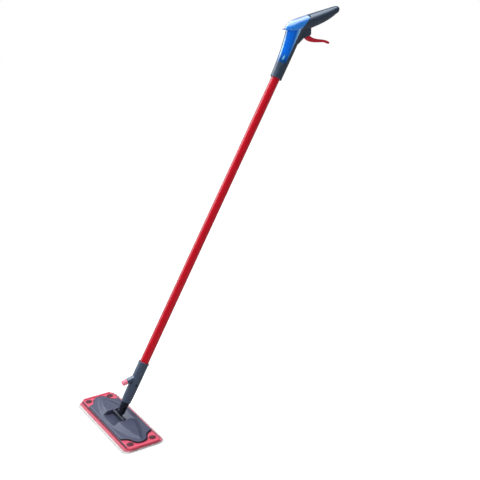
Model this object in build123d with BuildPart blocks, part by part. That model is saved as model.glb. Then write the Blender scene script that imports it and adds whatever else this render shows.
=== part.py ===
from build123d import *
import os
from math import cos, radians, sin, sqrt, tan

os.makedirs("parts", exist_ok=True)

# Spray mop: flat head with a washable pad, two-axis joint, pole, spray collar and a pump handle.
# Origin at the middle of the pad's underside, X along the head, -Y forwards, +Z up.
# Sizes are millimetres and degrees.

# Stance
lean = 30.0                    # pole leans back from upright
joint_height = 21.0            # tilt axis above the floor

# Pole
pole_radius = 11.5
pole_wall = 1.0
tube_fit = 0.05                # radial room of the tube in its two sockets

# Spray collar, stations measured up the pole from the tilt axis
collar_bottom = 41.0
collar_top = 155.0
collar_foot_radius = 12.4
collar_radius = 13.6
collar_rim_radius = 14.3
collar_rim_height = 5.0
collar_rim_edge = 0.6
collar_socket = 39.0           # depth of the tube in the collar
chamber_radius = 9.0
chamber_depth = 50.0           # length of the chamber below the tube

# Spray nozzle, measured along its own axis from the pole's axis
nozzle_station = 115.0
nozzle_tilt = 42.0             # below square to the pole
boss_radius = 7.6
boss_reach = 32.0
boss_bore = 5.4
boss_seat = 19.0
nozzle_head_radius = 7.1
nozzle_head_length = 13.0
nozzle_fit = 0.3               # room round the nozzle's stem, closed by its seal
nozzle_spigot_radius = 2.2
nozzle_spigot_start = 4.0
nozzle_dish = 2.0              # depth of the dish round the orifice
nozzle_orifice = 0.6
nozzle_throat = 1.2
nozzle_edge = 1.2
seal_wire = 0.9
fitting_length = 38.0          # fitting that joins the hose to the nozzle
collar_screw_station = 92.5
collar_screw_depth = 8.0
collar_screw_seat = 9.6        # underside of the head beside the pole's axis

# Handle, its foot at a station up the pole and the rest measured on from there
handle_bottom = 972.0
handle_socket = 36.0           # depth of the tube in the handle
tank_stand = 3.8               # tank's foot above the wall that stops the tube
neck_length = 144.0
elbow_rise = 4.0               # elbow above the neck's last cross-section
neck_half_width = 15.0
neck_spread = 0.9              # the neck widens by this towards the elbow
neck_back = 16.0
neck_front_low = 15.6
neck_front_tank = 18.2
neck_front_middle = 25.4
neck_front_top = 39.0

# Grip, distances along its own axis from the elbow
grip_rise = 18.0               # above level
nose_reach = 46.5
nose_rounding = 33.0
crown_half_depth = 19.4
crown_lift = 3.7
root_along = 30.0
root_half_depth = 18.2
root_lift = 1.6
waist_along = 81.0
waist_half_depth = 15.6
waist_sag = 1.0
grip_reach = 135.0
tip_rounding = 15.0
tip_half_depth = 10.4
grip_slimness = 0.95           # width of an oval against its depth
handle_wall = 2.2

# Tank and lid
split_ahead = 2.0              # tank's back plane ahead of the pole's axis
tank_foot_slope = 12.0         # tank's lower edge falls towards the front
seam_drop = 7.2                # seam of the lid below the elbow
gasket_thickness = 1.0
lid_gap = 0.3
tank_gap = 0.15
hinge_depth = 2.8              # hinge axis below the skin
lid_opening = 75.0             # full turn of the lid
hinge_knuckle = 2.3
hinge_pin_radius = 0.8
hinge_pin_length = 15.0
hinge_ear = 6.0                # width of the middle ear
ear_length = 8.4
tab_width = 11.0
tab_reach = 9.0
tab_thickness = 1.8
tab_length = 20.0
tab_corner = 3.0
gasket_rest = 0.05             # gap under the gasket on the tank's rim

# Trigger and its housing, places level and upright from the elbow
housing_width = 19.0
housing_rear = 32.0
housing_depth = 31.5           # below the grip's axis
housing_front = -12.0          # along the grip's axis
housing_corner = 4.0
housing_edge = 2.0
housing_gusset = 10.0          # slant between the neck's back and the housing's floor
slot_room = 0.6                # beside the trigger in its slot
slot_top = -14.0
trigger_pivot = (14.0, -22.0)
trigger_width = 11.0
trigger_hub = 5.2
trigger_reach = 83.0
trigger_pin_radius = 1.5
trigger_pin_length = 17.0
trigger_drop = 23.0            # tip of the lever below its pivot
trigger_knee = 31.0            # where the lever turns level, behind the pivot
knee_drop = 15.0
knee_thickness = 10.0
lever_thickness = 7.4
lever_arch = 0.8
tip_thickness = 4.4
trigger_edge = 1.4
running_fit = 0.05

# Pump, upright behind the trigger's pivot
pump_back = 23.5
pump_radius = 6.5
pump_bore = 4.5
pump_bottom = -13.0
pump_top = 6.0
pump_roof = 3.0
pump_collar = 3.5              # guide of the rod at the pump's foot
rib_height = 2.6               # foot of the rib that holds the pump
rib_reach = 13.0               # end of the rib behind the pump's axis
piston_rod_radius = 2.4
piston_head_height = 3.4
piston_rest = 0.3              # rod above the cam at rest
spring_wire = 0.4
spring_radius = 3.2
spring_turns = 5
port_spacing = 6.0
valve_radius = 2.7
valve_length = 6.0
spigot_radius = 1.2
spigot_bore = 0.6
hose_spigot_length = 3.0
valve_chamfer = 0.6
port_height = -2.5

# Hoses
hose_radius = 2.0
hose_behind = 5.0              # hose behind the pole's axis
nipple_slant = 40.0
nipple_rise = 17.0             # above the tank's foot
nipple_length = 5.0
hose_room = 0.6
hose_lead = 4.0                # straight run out of a valve
hose_drop = 20.0               # where the hoses join the neck, below the elbow
valve_bend = 5.0               # bends of the hoses at the valves, in the neck and at the nipple
neck_bend = 16.0
nipple_bend = 6.0
nipple_clear = 2.6
fitting_gap = 0.5
fitting_hose_depth = 11.0
passage_radius = 9.5

# Two-axis joint
stem_radius = 10.6
stem_foot_radius = 10.0
stem_shoulder = 3.0
stem_spigot_radius = 9.9
stem_spigot_length = 22.0
stem_fit = 0.05
swivel_station = 17.0
fork_gap = 8.4
tongue_thickness = 8.0
tongue_radius = 8.0
barrel_radius = 5.5
barrel_length = 62.0
pin_radius = 2.0
pin_grip = 5.0                 # how far the tilt pin sits in each cheek
fork_root = 2.0                # room above the tongue
barrel_edge = 1.6
tongue_edge = 0.8

# Head
plate_length = 290.0
plate_width = 91.0
plate_thickness = 4.0
plate_corner = 7.0
rim_height = 1.6
rim_width = 1.2
lip_radius = 3.4
strip_thickness = 1.3          # rubber strip along a long edge
strip_key_depth = 1.2
strip_key_height = 1.6
gripper_end_inset = 17.0       # middles of the grippers in from the plate's edges
gripper_side_inset = 14.5
gripper_radius = 7.4
gripper_flange = 8.8
gripper_rise = 1.0
slit_width = 0.6
slit_count = 3
slit_inset = 0.5               # slits end this short of a gripper's edge
cover_end_gap = 10.0           # cover's edge in from the plate's
cover_side_gap = 2.6
straight_short = 29.0          # the cover's long edges end this short of the grippers
waist_short = 12.0             # and its tongues start here
waist_inset = 9.5              # waist of the cover nearer the middle line than the grippers
waist_bow = (23.0, 13.5)       # point of the arc round a gripper, from its middle and the cover's edge
tongue_bow = (4.0, 12.0)       # point of the arc of a tongue, from the cover's end and its middle line
cover_flange = 3.0
underlay_thickness = 0.8       # rubber underlay that shows as a dark line round the cover
underlay_show = 1.2
cover_wall = 2.2
crown_height = 12.2            # crown above the cover's foot
crown_end_height = 4.5
crown_side_inset = 5.9         # sides of the crown in from the cover's
crown_draft = 58.0
recess_width = 66.0
recess_reach = 38.0
recess_floor = 1.3             # thickness of the recess's floor at the middle
recess_flat = 12.0
recess_rise = 3.0
cheek_width = 9.0
crown_inset = 4.0              # ends of the crown in from the cover's
crown_end_draw = 1.8           # the crown's ends draw in so much faster than its sides
crown_foot = 2.0               # height where the crown leaves the flange
cover_edge = 1.0
cover_corner = 4.0
cover_screw_x = 72.0
cover_screw_y = 15.0

# Pad
pile_height = 5.0
pad_thickness = 2.0
pad_over_ends = 1.0            # pad's sheet beyond the plate
pad_over_sides = 6.5
pad_corner = 12.0
binding_width = 3.0
binding_rise = 0.5
binding_edge = 1.0
fringe_ends = 4.0
fringe_sides = 8.0
pile_foot_edge = 1.6
pile_top_edge = 2.4
hook_thickness = 1.0
hook_width = 26.0
hook_end_gap = 27.0            # strips in from the plate's ends
hook_spacing = 50.0

# Fasteners
screw_radius = 1.25
screw_head_radius = 2.6
screw_head_height = 1.8
screw_length = 12.0
screw_seat = 5.5               # underside of the heads beside the middle plane
screw_boss_radius = 3.2
drive_span = 3.0               # cross recess in a screw's head
drive_slot = 0.7
drive_depth = 1.0
front_screw_along = 50.0
rear_screw_along = 100.0
neck_screw_rise = 36.0         # above the tank's foot
neck_screw_behind = 11.5

# Stations of the handle, up the pole from the tilt axis
socket_end = handle_bottom + handle_socket
tank_bottom = socket_end + handle_wall + tank_stand
neck_top = handle_bottom + neck_length
elbow_station = neck_top + elbow_rise
nipple_station = tank_bottom + nipple_rise
neck_screw_station = tank_bottom + neck_screw_rise

# Frames: the pole's, the grip's, and the handle's side view seen along X
lean_up = Vector(0, sin(radians(lean)), cos(radians(lean)))
lean_forward = Vector(0, -cos(radians(lean)), sin(radians(lean)))
pole = Plane(origin=(0, 0, joint_height), x_dir=(1, 0, 0), z_dir=lean_up)
elbow = pole.origin + lean_up * elbow_station
grip_along = Vector(0, cos(radians(grip_rise)), sin(radians(grip_rise)))
grip = Plane(origin=elbow, x_dir=(1, 0, 0), z_dir=grip_along)
side = Plane(origin=elbow, x_dir=(0, 1, 0), z_dir=(1, 0, 0))
nozzle_way = lean_forward * cos(radians(nozzle_tilt)) - lean_up * sin(radians(nozzle_tilt))
nozzle = Plane(origin=pole.origin + lean_up * nozzle_station, x_dir=(1, 0, 0), z_dir=nozzle_way)


def on_side(base, along, forward):
    """Point of the side view, from a distance along a frame's axis and ahead of it."""
    place = base.from_local_coords((0, -forward, along))
    return (place.Y - elbow.Y, place.Z - elbow.Z)


def pole_point(station, forward=0.0, x=0.0):
    """Point in space, from a station up the pole and distances ahead of and beside its axis."""
    return pole.from_local_coords(Vector(x, -forward, station))


def from_elbow(x, back, up):
    """Point in space, from distances beside, behind and above the elbow."""
    return elbow + Vector(x, back, up)


def oval(base, along, half_width, half_depth, forward):
    """Oval cross-section standing square to a frame's axis."""
    with BuildSketch(base.offset(along)) as section:
        with Locations((0, -forward)):
            Ellipse(half_width, half_depth)
    return section.sketch.face()


def neck_ovals(wall):
    """Cross-sections of the neck, drawn in by a wall."""
    middle = (tank_bottom + neck_top) / 2
    spread = neck_half_width + neck_spread
    rows = [
        (handle_bottom, neck_half_width, neck_front_low),
        (tank_bottom, neck_half_width + neck_spread / 2, neck_front_tank),
        (middle, spread, neck_front_middle),
        (neck_top, spread, neck_front_top),
    ]
    ovals = []
    for station, half_width, front in rows:
        half_depth = (front + neck_back) / 2
        ahead = (front - neck_back) / 2
        ovals.append(oval(pole, station, half_width - wall, half_depth - wall, ahead))
    return ovals


def grip_rows():
    """Stations of the grip behind its nose: distance along, half depth and lift of the middle."""
    return [
        (nose_rounding - nose_reach, crown_half_depth, crown_lift),
        (root_along, root_half_depth, root_lift),
        (waist_along, waist_half_depth, -waist_sag),
        (grip_reach - tip_rounding, tip_half_depth, 0),
    ]


def round_end(row, length, wall):
    """Half-egg that closes the grip at one of its stations."""
    along, half_depth, lift = row
    with BuildPart() as egg:
        Sphere(1)
        scale(by=(grip_slimness * half_depth - wall, half_depth - wall, length - wall))
    return egg.part.moved(Location(Plane(grip.from_local_coords((0, -lift, along)), grip.x_dir, grip.z_dir)))


def side_block(outline, half_width, grow=0.0):
    """Block right through the handle with this side outline, grown all round."""
    with BuildPart() as block:
        with BuildSketch(side):
            Polygon(*outline, align=None)
            if grow:
                offset(amount=grow, kind=Kind.INTERSECTION)
        extrude(amount=half_width, both=True)
    return block.part


def handle_form(wall):
    """Neck and grip in one, drawn in by a wall: ahead of the split the grip stops at the lid's foot."""
    rows = grip_rows()
    sections = []
    for along, half_depth, lift in rows:
        sections.append(oval(grip, along, grip_slimness * half_depth - wall, half_depth - wall, lift))
    with BuildPart() as neck:
        loft(neck_ovals(wall))
        add(side_block(over_foot_outline, handle_breadth), mode=Mode.SUBTRACT)
    with BuildPart() as form:
        loft(sections)
        add(round_end(rows[0], nose_rounding, wall))
        add(round_end(rows[-1], tip_rounding, wall))
        add(side_block(under_foot_outline, handle_breadth), mode=Mode.SUBTRACT)
        add(neck.part)
    return form.part


def rod(start, end, radius):
    """Round rod between two points."""
    with BuildPart() as bar:
        with BuildSketch(Plane(origin=start, z_dir=end - start)):
            Circle(radius)
        extrude(amount=(end - start).length)
    return bar.part


def pole_rod(low, high, radius):
    """Round rod on the pole's axis between two stations."""
    return rod(pole_point(low), pole_point(high), radius)


def cross_recess(top, way):
    """Cross-shaped recess, down from the top of a screw's head."""
    with BuildPart() as recess:
        with BuildSketch(Plane(origin=top, z_dir=way)):
            Rectangle(drive_span, drive_slot)
            Rectangle(drive_slot, drive_span)
        extrude(amount=-drive_depth)
    return recess.part


def hose(points, radii):
    """Hose along straight runs joined by tangent arcs."""
    with BuildPart() as tube:
        with BuildLine() as route:
            FilletPolyline(*points, radius=radii)
        with BuildSketch(Plane(origin=route.line @ 0, z_dir=route.line % 0)):
            Circle(hose_radius)
            Circle(spigot_radius, mode=Mode.SUBTRACT)
        sweep()
    return tube.part


# Shared heights of the head, built up from the floor
backing_top = pile_height + pad_thickness
plate_bottom = backing_top + hook_thickness
plate_top = plate_bottom + plate_thickness
cover_foot = plate_top + underlay_thickness

# Side outlines that part the handle into tank, lid and shells, reaching well past its skin
handle_breadth = 60.0
far = 120.0
tank_foot_fall = far * tan(radians(tank_foot_slope))
tank_room_back = split_ahead + handle_wall
tank_room_foot = tank_bottom + handle_wall
lid_bottom = gasket_thickness - seam_drop
lid_floor = lid_bottom + handle_wall


def on_split(height, ahead=split_ahead):
    """Point at a height from the elbow, on the tank's back plane or another ahead of the pole's axis."""
    return (height * tan(radians(lean)) - ahead / cos(radians(lean)), height)


over_foot_outline = [on_split(lid_bottom), on_split(far), (-far, far), (-far, lid_bottom)]
under_foot_outline = [on_split(lid_bottom), on_split(-far), (-far, -far), (-far, lid_bottom)]
tank_outline = [
    on_split(-seam_drop),
    on_side(pole, tank_bottom, split_ahead),
    on_side(pole, tank_bottom - tank_foot_fall, far),
    (-far, -seam_drop),
]
tank_room_outline = [
    on_split(lid_floor, tank_room_back),
    on_side(pole, tank_room_foot, tank_room_back),
    on_side(pole, tank_room_foot - tank_foot_fall, far),
    (-far, lid_floor),
]
root_skin = root_half_depth + root_lift
hinge_lift = root_skin - hinge_depth
lid_outline = [
    on_split(lid_bottom),
    on_side(grip, root_along, hinge_lift - hinge_depth),
    on_side(grip, root_along, far),
    (-far, far),
    (-far, lid_bottom),
]
lid_rear = root_along - hinge_depth - handle_wall
lid_room_outline = [
    on_side(grip, lid_rear, -far),
    on_side(grip, lid_rear, far),
    (-far, far),
    (-far, lid_floor),
    on_split(lid_floor),
    on_split(-far),
]
hinge_axis = from_elbow(0, *on_side(grip, root_along, hinge_lift))
hinge_sweep = hinge_depth + lid_gap
hinge_relief = hinge_depth / cos(radians(lid_opening / 2)) + lid_gap
knuckle_start = hinge_ear / 2 + lid_gap


def hinge_rod(radius, low, high):
    """Rod on the lid's hinge axis between two distances from the middle plane."""
    return rod(hinge_axis + Vector(low, 0, 0), hinge_axis + Vector(high, 0, 0), radius)


# Skin of the whole handle, dark and blue pieces together, and the same drawn in by the wall
with BuildPart() as handle_skin:
    add(handle_form(0))

with BuildPart() as handle_core:
    add(handle_form(handle_wall))

# Heights of the pump's pieces, from the elbow
rod_bottom = trigger_pivot[1] + trigger_hub + piston_rest
head_bottom = pump_bottom + pump_collar
head_top = head_bottom + piston_head_height
chamber_roof = pump_top - pump_roof
valve_rear = pump_back - pump_radius
valve_front = valve_rear - valve_length


def pump_rod(low, high, radius):
    """Rod on the pump's axis between two heights."""
    return rod(from_elbow(0, pump_back, low), from_elbow(0, pump_back, high), radius)


# Where the hoses turn down into the neck, and the passage both of them need
hose_bend = from_elbow(0, valve_front - hose_lead, port_height)
hose_joins = pole_point(elbow_station - hose_drop, -hose_behind)
hose_passage = port_spacing / 2 + hose_radius + hose_room

# Nipple on the tank's back wall, slanting up and back
nipple_foot = pole_point(nipple_station, split_ahead, -port_spacing / 2)
nipple_way = lean_up * cos(radians(nipple_slant)) - lean_forward * sin(radians(nipple_slant))
nipple_root = nipple_foot - nipple_way * handle_wall
nipple_end = nipple_foot + nipple_way * nipple_length
inlet_turn = nipple_foot + nipple_way * ((split_ahead + hose_behind) / sin(radians(nipple_slant)))

# Water tank: front half of the neck, open at the seam
with BuildPart() as tank_room:
    loft(neck_ovals(handle_wall))
    add(side_block(tank_room_outline, handle_breadth), mode=Mode.INTERSECT)

with BuildPart() as water_tank:
    add(handle_skin.part)
    add(side_block(tank_outline, handle_breadth), mode=Mode.INTERSECT)
    add(tank_room.part, mode=Mode.SUBTRACT)
    add(rod(nipple_root, nipple_end, spigot_radius))
    add(rod(nipple_root - nipple_way * handle_wall, nipple_end, spigot_bore), mode=Mode.SUBTRACT)
water_tank.part.label = "water_tank"
export_step(water_tank.part, "parts/water_tank.step")

# Lid: hollow cap over the tank's mouth and the pump, floored round the mouth, with a thumb tab in front
tab_front = on_side(grip, -nose_reach, 0)[0] - tab_reach
with BuildPart() as tank_lid:
    add(handle_skin.part)
    add(side_block(lid_outline, handle_breadth), mode=Mode.INTERSECT)
    with BuildSketch(Plane(origin=from_elbow(0, 0, lid_bottom), x_dir=(1, 0, 0), z_dir=(0, 0, 1))):
        with Locations((0, tab_front + tab_length / 2)):
            RectangleRounded(tab_width, tab_length, tab_corner)
    extrude(amount=tab_thickness)
    with BuildPart(mode=Mode.PRIVATE) as lid_room:
        add(handle_core.part)
        add(side_block(lid_room_outline, handle_breadth), mode=Mode.INTERSECT)
    add(lid_room.part, mode=Mode.SUBTRACT)
    add(tank_room.part, mode=Mode.SUBTRACT)
    add(hinge_rod(hinge_knuckle, -hinge_pin_length / 2, hinge_pin_length / 2))
    add(hinge_rod(hinge_sweep, -knuckle_start, knuckle_start), mode=Mode.SUBTRACT)
    add(hinge_rod(hinge_pin_radius + running_fit, -far, far), mode=Mode.SUBTRACT)
tank_lid.part.label = "tank_lid"
export_step(tank_lid.part, "parts/tank_lid.step")

with BuildPart() as lid_hinge_pin:
    add(hinge_rod(hinge_pin_radius, -hinge_pin_length / 2, hinge_pin_length / 2))
lid_hinge_pin.part.label = "lid_hinge_pin"
export_step(lid_hinge_pin.part, "parts/lid_hinge_pin.step")

# Gasket round the tank's mouth, carried by the lid
gasket_foot = gasket_rest - seam_drop
gasket_outline = [on_split(gasket_foot), on_split(lid_bottom), (-far, lid_bottom), (-far, gasket_foot)]
with BuildPart() as lid_gasket:
    add(handle_skin.part)
    add(side_block(gasket_outline, handle_breadth), mode=Mode.INTERSECT)
    add(tank_room.part, mode=Mode.SUBTRACT)
lid_gasket.part.label = "lid_gasket"
export_step(lid_gasket.part, "parts/lid_gasket.step")

# Handle shells: the dark rest of the skin with the trigger's housing, parted at the middle plane
gusset_station = elbow_station + housing_front - housing_depth
housing_rear_along = (housing_rear - housing_depth * sin(radians(grip_rise))) / cos(radians(grip_rise))
housing_outline = [
    on_side(pole, gusset_station, housing_edge - neck_back),
    on_side(grip, housing_front + housing_gusset, -housing_depth),
    on_side(grip, housing_rear_along, -housing_depth),
    (housing_rear, 0),
    (0, 0),
]
trigger_slot_outline = [
    (trigger_pivot[0] - trigger_hub - slot_room, trigger_pivot[1] + trigger_hub + slot_room),
    (trigger_pivot[0] - trigger_hub - slot_room, -far),
    (housing_rear + far, -far),
    (housing_rear + far, slot_top),
    (trigger_pivot[0], slot_top),
]
rib_outline = [
    (0, rib_height),
    (pump_back + rib_reach, rib_height),
    (pump_back + rib_reach, rib_height + handle_wall),
    (0, rib_height + handle_wall),
]
socket_outline = [
    on_side(pole, 0, -far),
    on_side(pole, 0, far),
    on_side(pole, socket_end + handle_wall, far),
    on_side(pole, socket_end + handle_wall, -far),
]
ear_outline = [
    on_side(grip, root_along, hinge_lift + hinge_knuckle / 2),
    on_side(grip, root_along + ear_length, hinge_lift + hinge_knuckle / 2),
    on_side(grip, root_along + ear_length, hinge_lift - hinge_knuckle),
    on_side(grip, root_along, hinge_lift - hinge_knuckle),
]
screw_places = [
    on_side(grip, front_screw_along, 0),
    on_side(grip, rear_screw_along, 0),
    on_side(pole, neck_screw_station, -neck_screw_behind),
]


def cross_rod(place, radius, low, high):
    """Rod across the handle at a place of the side view."""
    return rod(from_elbow(low, *place), from_elbow(high, *place), radius)


with BuildPart() as handle_room:
    add(handle_core.part)
    add(side_block(housing_outline, housing_width / 2 - handle_wall, -handle_wall))
    add(rod(hose_bend, hose_joins, hose_passage))
    add(side_block(tank_outline, handle_breadth, handle_wall + tank_gap), mode=Mode.SUBTRACT)
    add(side_block(lid_outline, handle_breadth, handle_wall + lid_gap), mode=Mode.SUBTRACT)
    add(side_block(socket_outline, handle_breadth), mode=Mode.SUBTRACT)
    add(side_block(rib_outline, handle_breadth), mode=Mode.SUBTRACT)
    for place in screw_places:
        add(cross_rod(place, screw_boss_radius, -far, far), mode=Mode.SUBTRACT)

with BuildPart() as handle_shells:
    with BuildSketch(side):
        Polygon(*housing_outline, align=None)
    extrude(amount=housing_width / 2, both=True)
    fillet(handle_shells.edges().filter_by(Axis.X).sort_by(Axis.Y)[-1:], housing_corner)
    fillet(handle_shells.faces().sort_by(Axis.X)[0].edges(), housing_edge)
    fillet(handle_shells.faces().sort_by(Axis.X)[-1].edges(), housing_edge)
    add(handle_skin.part)
    add(side_block(tank_outline, handle_breadth, tank_gap), mode=Mode.SUBTRACT)
    add(side_block(lid_outline, handle_breadth, lid_gap), mode=Mode.SUBTRACT)
    add(side_block(gasket_outline, handle_breadth, lid_gap), mode=Mode.SUBTRACT)
    add(handle_room.part, mode=Mode.SUBTRACT)
    add(hinge_rod(hinge_relief, -far, far), mode=Mode.SUBTRACT)
    add(side_block(ear_outline, hinge_ear / 2))
    add(hinge_rod(hinge_knuckle, -hinge_ear / 2, hinge_ear / 2))
    add(hinge_rod(hinge_pin_radius, -far, far), mode=Mode.SUBTRACT)
    add(side_block(trigger_slot_outline, trigger_width / 2 + slot_room), mode=Mode.SUBTRACT)
    add(cross_rod(trigger_pivot, trigger_pin_radius, -trigger_pin_length / 2, trigger_pin_length / 2),
        mode=Mode.SUBTRACT)
    add(pump_rod(pump_bottom, pump_top, pump_radius), mode=Mode.SUBTRACT)
    add(pump_rod(rod_bottom, pump_bottom, piston_rod_radius + hose_room), mode=Mode.SUBTRACT)
    add(pole_rod(0, socket_end, pole_radius + tube_fit), mode=Mode.SUBTRACT)
    add(pole_rod(0, socket_end + handle_wall + tube_fit, passage_radius), mode=Mode.SUBTRACT)
    add(rod(nipple_root, inlet_turn, hose_radius + hose_room), mode=Mode.SUBTRACT)
    for place in screw_places:
        add(cross_rod(place, screw_radius, -screw_seat, screw_length - screw_seat), mode=Mode.SUBTRACT)
        add(cross_rod(place, screw_head_radius, -far, -screw_seat), mode=Mode.SUBTRACT)

with BuildPart() as handle_shell_right:
    add(handle_shells.part)
    split(bisect_by=Plane.YZ, keep=Keep.TOP)
handle_shell_right.part.label = "handle_shell_right"
export_step(handle_shell_right.part, "parts/handle_shell_right.step")

with BuildPart() as handle_shell_left:
    add(handle_shells.part)
    split(bisect_by=Plane.YZ, keep=Keep.BOTTOM)
handle_shell_left.part.label = "handle_shell_left"
export_step(handle_shell_left.part, "parts/handle_shell_left.step")

screw_top = -screw_seat - screw_head_height
with BuildPart() as handle_screws:
    for place in screw_places:
        add(cross_rod(place, screw_radius, -screw_seat, screw_length - screw_seat))
        add(cross_rod(place, screw_head_radius, screw_top, -screw_seat))
        add(cross_recess(from_elbow(screw_top, *place), Vector(-1, 0, 0)), mode=Mode.SUBTRACT)
handle_screws.part.label = "handle_screws"
export_step(handle_screws.part, "parts/handle_screws.step")

# Trigger: hub, a cam that lifts the piston, and an S-shaped finger lever
pivot_back, pivot_up = trigger_pivot
tip = (pivot_back + trigger_reach, pivot_up - trigger_drop)
knee = (pivot_back + trigger_knee, pivot_up - knee_drop)
mid_lever = ((tip[0] + knee[0]) / 2, (tip[1] + knee[1]) / 2 + lever_arch)
with BuildPart() as trigger:
    with BuildSketch(side):
        with BuildLine():
            top_edge = Spline(
                (pump_back, pivot_up + trigger_hub),
                (knee[0], knee[1] + knee_thickness / 2),
                (mid_lever[0], mid_lever[1] + lever_thickness / 2),
                tip,
            )
            low_edge = Spline(
                (tip[0] - tip_thickness / 2, tip[1] - tip_thickness),
                (mid_lever[0], mid_lever[1] - lever_thickness / 2),
                (knee[0] - knee_thickness / 2, knee[1] - knee_thickness / 2),
                (pivot_back, pivot_up - trigger_hub),
            )
            Line(top_edge @ 1, low_edge @ 0)
            hub_front = ThreePointArc(
                low_edge @ 1, (pivot_back - trigger_hub, pivot_up), (pivot_back, pivot_up + trigger_hub)
            )
            Line(hub_front @ 1, top_edge @ 0)
        make_face()
    extrude(amount=trigger_width / 2, both=True)
    cheeks = trigger.faces().sort_by(Axis.X)
    fillet(cheeks[0].edges() + cheeks[-1].edges(), trigger_edge)
    add(cross_rod(trigger_pivot, trigger_pin_radius + running_fit, -far, far), mode=Mode.SUBTRACT)
trigger.part.label = "trigger"
export_step(trigger.part, "parts/trigger.step")

with BuildPart() as trigger_pin:
    add(cross_rod(trigger_pivot, trigger_pin_radius, -trigger_pin_length / 2, trigger_pin_length / 2))
trigger_pin.part.label = "trigger_pin"
export_step(trigger_pin.part, "parts/trigger_pin.step")


def port_rod(port, rear, front, radius):
    """Rod along one of the pump's ports, between two distances behind the elbow."""
    return rod(from_elbow(port, rear, port_height), from_elbow(port, front, port_height), radius)


# Pump: cylinder with two ports in front, piston, seal and return spring
with BuildPart() as pump_body:
    add(pump_rod(pump_bottom, pump_top, pump_radius))
    add(pump_rod(head_bottom, chamber_roof, pump_bore), mode=Mode.SUBTRACT)
    add(pump_rod(pump_bottom, chamber_roof, piston_rod_radius + running_fit), mode=Mode.SUBTRACT)
    for port in (-port_spacing / 2, port_spacing / 2):
        add(port_rod(port, pump_back, valve_rear, spigot_radius), mode=Mode.SUBTRACT)
pump_body.part.label = "pump_body"
export_step(pump_body.part, "parts/pump_body.step")

seal_middle = head_bottom + piston_head_height / 2
with BuildPart() as piston_seal:
    add(pump_rod(seal_middle - seal_wire, seal_middle + seal_wire, pump_bore - running_fit))
    add(pump_rod(seal_middle - seal_wire, seal_middle + seal_wire, pump_bore - 2 * seal_wire),
        mode=Mode.SUBTRACT)
piston_seal.part.label = "piston_seal"
export_step(piston_seal.part, "parts/piston_seal.step")

with BuildPart() as pump_piston:
    add(pump_rod(rod_bottom, head_bottom, piston_rod_radius))
    add(pump_rod(head_bottom, head_top, pump_bore - 2 * running_fit))
    add(piston_seal.part, mode=Mode.SUBTRACT)
pump_piston.part.label = "pump_piston"
export_step(pump_piston.part, "parts/pump_piston.step")

spring_height = chamber_roof - head_top - 2 * spring_wire
spring_pitch = spring_height / spring_turns
with BuildPart() as pump_spring:
    with BuildLine(Plane(origin=from_elbow(0, pump_back, head_top + spring_wire), z_dir=(0, 0, 1))):
        coil = Helix(spring_pitch, spring_height, spring_radius)
    with BuildSketch(Plane(origin=coil @ 0, z_dir=coil % 0)):
        Circle(spring_wire)
    sweep(is_frenet=True)
pump_spring.part.label = "pump_spring"
export_step(pump_spring.part, "parts/pump_spring.step")
print("pump spring gap between turns", round(spring_pitch - 2 * spring_wire, 2))

# Check valves on the pump's ports: barrel, spigots at both ends and a stepped bore
spigot_rear = pump_back - pump_bore
spigot_front = valve_front - hose_spigot_length
for name, port in (("inlet_valve", -port_spacing / 2), ("outlet_valve", port_spacing / 2)):
    with BuildPart() as valve:
        add(port_rod(port, valve_rear, valve_front, valve_radius))
        chamfer(valve.edges(), valve_chamfer)
        add(port_rod(port, spigot_rear, spigot_front, spigot_radius))
        add(port_rod(port, pump_back, 0, spigot_bore), mode=Mode.SUBTRACT)
    valve.part.label = name
    export_step(valve.part, "parts/" + name + ".step")

# Hoses: one from the tank to the pump, one from the pump down the pole to the nozzle
fitting_top = collar_top - collar_socket - fitting_gap
beside = Vector(port_spacing / 2, 0, 0)
hose_foot = pole_point(fitting_top - fitting_hose_depth, -hose_behind) + beside
with BuildPart() as inlet_hose:
    add(hose(
        [
            from_elbow(0, valve_front, port_height) - beside,
            hose_bend - beside,
            hose_joins - beside,
            inlet_turn,
            nipple_foot + nipple_way * nipple_clear,
        ],
        [valve_bend, neck_bend, nipple_bend],
    ))
inlet_hose.part.label = "inlet_hose"
export_step(inlet_hose.part, "parts/inlet_hose.step")

with BuildPart() as delivery_hose:
    add(hose(
        [
            from_elbow(0, valve_front, port_height) + beside,
            hose_bend + beside,
            hose_joins + beside,
            hose_foot,
        ],
        [valve_bend, neck_bend],
    ))
delivery_hose.part.label = "delivery_hose"
export_step(delivery_hose.part, "parts/delivery_hose.step")

# Pole tube between its two sockets
tube_bottom = collar_top - collar_socket
with BuildPart() as pole_tube:
    add(pole_rod(tube_bottom, socket_end, pole_radius))
    add(pole_rod(tube_bottom, socket_end, pole_radius - pole_wall), mode=Mode.SUBTRACT)
pole_tube.part.label = "pole_tube"
export_step(pole_tube.part, "parts/pole_tube.step")

# Spray collar: turned body with sockets for tube and stem, a slanting boss and a screw hole
pole_section = Plane(origin=pole.origin, x_dir=(1, 0, 0), z_dir=lean_forward)
pole_axis = Axis(pole.origin, lean_up)
rim_start = collar_top - collar_rim_height
spigot_top = collar_bottom + stem_spigot_length
chamber_bottom = tube_bottom - chamber_depth


def nozzle_point(along):
    """Point on the nozzle's axis."""
    return nozzle.origin + nozzle_way * along


def nozzle_rod(low, high, radius):
    """Rod on the nozzle's axis between two distances from the pole's."""
    return rod(nozzle_point(low), nozzle_point(high), radius)


def beside_pole(low, high, radius):
    """Rod along the collar's screw, between two distances beside the pole's axis."""
    return rod(pole_point(collar_screw_station, 0, low), pole_point(collar_screw_station, 0, high), radius)


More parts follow.
